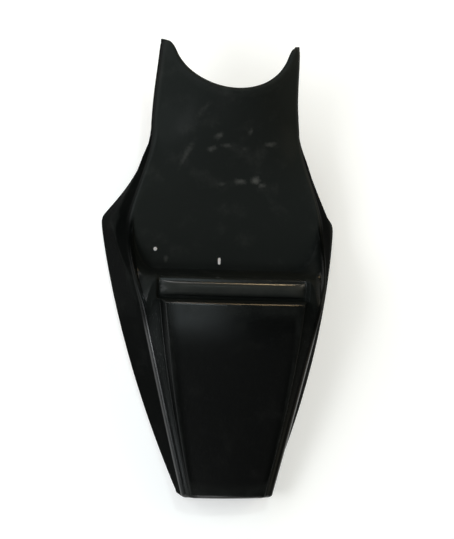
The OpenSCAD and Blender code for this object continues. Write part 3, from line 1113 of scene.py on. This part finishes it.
@dataclass(frozen=True)
class TrimmedEdge:
    """Sawn and sanded edge of the laminate: layers of fibre between bands of resin."""

    resin: tuple = (0.03, 0.031, 0.028, 1.0)
    fibre: tuple = (0.11, 0.112, 0.095, 1.0)
    dust: tuple = (0.16, 0.155, 0.14, 1.0)
    relief: float = 0.0003

    def material(self, grain: NodeTree, dust: NodeTree) -> Material:
        """Builds the material from sanding marks, the surface grain and the dust groups."""
        made, n = new_material("trimmed edge")
        place = n.place()
        skin = n.use(grain, {"Place": place, "Peel": 1.0, "Waves": 0.0, "Pores": 0.8})
        dirt = n.use(dust, {"Place": place, "Amount": 0.3, "Scratching": 0.5})
        layers = n.ramp(n.noise(place, 900.0, 3.0, 0.6), 0.45, 0.6)
        colour = n.blend(n.times(layers, 0.7), self.resin, self.fibre)
        looks = {
            "Base Color": n.blend(dirt["Dust"], colour, self.dust),
            "Roughness": n.level(layers, 0.6, 0.85),
        }
        n.surface(looks, n.math("SUBTRACT", skin["Height"], dirt["Scratches"]), self.relief)
        return made


@dataclass(frozen=True)
class Lamp:
    """A soft square lamp that looks at the middle of the unit."""

    name: str
    place: tuple
    size: float
    watts: float
    colour: tuple = (1.0, 1.0, 1.0)


@dataclass(frozen=True)
class Studio:
    """Pale floor, even world, soft lamps and the camera of the photograph."""

    white: tuple = (1.0, 1.0, 1.0, 1.0)
    floor_colour: tuple = (0.8, 0.8, 0.79, 1.0)
    floor_roughness: float = 0.8
    floor_half: float = 4.0
    floor_glow: float = 0.3
    glow_start: float = 1.0
    sky_dim: tuple = (0.05, 0.05, 0.05, 1.0)
    sky_left: tuple = (0.42, 0.46, 0.48, 1.0)
    sky_right: tuple = (0.24, 0.21, 0.15, 1.0)
    lens: float = 118.94
    sensor: float = 36.0
    camera_place: tuple = (-0.515046, -0.574689, 2.545088)
    camera_turn: tuple = (12.98563, -11.541125, -0.909794)
    aim: tuple = (0.0, 0.0, 0.08)
    lamps: tuple = (
        Lamp("key left", (-2.6, 0.6, 1.7), 2.0, 37.0, (0.95, 0.98, 1.0)),
        Lamp("key left rear", (-2.5, -0.9, 2.2), 1.2, 41.0, (0.95, 0.98, 1.0)),
        Lamp("fill right", (2.8, 0.9, 1.5), 2.0, 36.0, (1.0, 0.92, 0.75)),
        Lamp("front", (-0.4, 3.0, 1.3), 1.6, 28.0),
        Lamp("back", (-0.3, -3.2, 1.6), 1.8, 31.0),
        Lamp("warm", (0.98, 3.1, 0.75), 0.5, 26.0, (1.0, 0.72, 0.38)),
        Lamp("overhead", (0.05, -0.5, 3.6), 1.2, 4.0, (0.85, 0.97, 1.0)),
        Lamp("overhead soft", (0.22, 0.35, 3.6), 0.7, 3.0, (0.7, 0.97, 1.0)),
        Lamp("overhead spot", (0.3, 1.3, 3.3), 0.35, 14.0, (0.85, 0.98, 1.0)),
    )

    def floor(self) -> Object:
        """Makes the floor, which keeps the unit's shadow and runs out into the white of the world."""
        side = np.linspace(-self.floor_half, self.floor_half, 2)
        x, y = np.meshgrid(side, side)
        points = np.stack([x, y, np.zeros_like(x)], -1).reshape(-1, 3)
        piece = mesh_piece("floor", points, [(0, 1, 3, 2)])
        made, n = new_material("pale floor")
        path = n.add("ShaderNodeLightPath").outputs
        seen = n.math("MAXIMUM", path["Is Camera Ray"], path["Is Glossy Ray"])
        seen = n.math("MAXIMUM", seen, path["Is Transmission Ray"])
        inputs = {"Base Color": self.floor_colour, "Roughness": self.floor_roughness}
        matt = n.add("ShaderNodeBsdfPrincipled", inputs).outputs[0]
        outwards = n.ramp(n.length(n.place()), self.glow_start, self.floor_half)
        inputs = {"Strength": n.level(outwards, self.floor_glow, 1.0), "Color": self.white}
        glow = n.add("ShaderNodeEmission", inputs).outputs[0]
        both = n.add("ShaderNodeAddShader", {0: matt, 1: glow}).outputs[0]
        pick = n.add("ShaderNodeMixShader", {0: seen, 1: matt, 2: both}).outputs[0]
        n.add("ShaderNodeOutputMaterial", {"Surface": pick})
        piece.data.materials.append(made)
        return piece

    def world(self) -> None:
        """Sets the world: white to the camera, else dim, cool on the left and warm on the right."""
        world = bpy.data.worlds.new("studio")
        bpy.context.scene.world = world
        world.use_nodes = True
        n = Nodes(world.node_tree)
        seen = n.add("ShaderNodeLightPath").outputs["Is Camera Ray"]
        towards = n.add("ShaderNodeTexCoord").outputs["Generated"]
        across = n.add("ShaderNodeSeparateXYZ", {0: towards}).outputs[0]
        sky = n.blend(n.ramp(across, 0.5, 0.95), self.sky_dim, self.sky_right)
        sky = n.blend(n.ramp(across, -0.1, -0.7), sky, self.sky_left)
        back = n.add("ShaderNodeBackground", {"Strength": 1.0, "Color": n.blend(seen, sky, self.white)})
        n.add("ShaderNodeOutputWorld", {"Surface": back.outputs[0]})

    def light(self) -> None:
        """Hangs the lamps, each turned to look at the middle of the unit."""
        for lamp in self.lamps:
            data = bpy.data.lights.new(lamp.name, "AREA")
            data.size = lamp.size
            data.energy = lamp.watts
            data.color = lamp.colour
            piece = placed(lamp.name, data)
            piece.location = lamp.place
            x, y, z = np.array(lamp.place) - np.array(self.aim)
            piece.rotation_euler = Euler((math.atan2(math.hypot(x, y), z), 0.0, math.atan2(x, -y)))

    def camera(self) -> None:
        """Sets the camera where the photograph was taken from."""
        data = bpy.data.cameras.new("camera")
        data.sensor_fit = "HORIZONTAL"
        data.sensor_width = self.sensor
        data.lens = self.lens
        piece = placed("camera", data)
        piece.location = self.camera_place
        piece.rotation_euler = Euler([math.radians(v) for v in self.camera_turn])
        bpy.context.scene.camera = piece

    def build(self) -> None:
        """Makes floor, world, lamps and camera."""
        self.floor()
        self.world()
        self.light()
        self.camera()
        log.info("studio: floor, world, %d lamps and camera", len(self.lamps))


def main() -> None:
    """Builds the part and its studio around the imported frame."""
    logging.basicConfig(level=logging.INFO, format="%(name)s: %(message)s")
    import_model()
    bpy.context.scene.view_settings.view_transform = "Standard"
    shape = Moulding()
    grain = surface_grain()
    dust = settled_dust()
    finishes = {
        Side.GELCOAT: Gelcoat().material(shape, grain, dust),
        Side.LAMINATE: Laminate().material(grain, dust),
        Side.TRIM: TrimmedEdge().material(grain, dust),
    }
    piece = shape.build(finishes)
    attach(piece, "root")
    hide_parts("seat_unit")
    log.info("moulding: %d faces", len(piece.data.polygons))
    Studio().build()


if __name__ == "__main__":
    main()
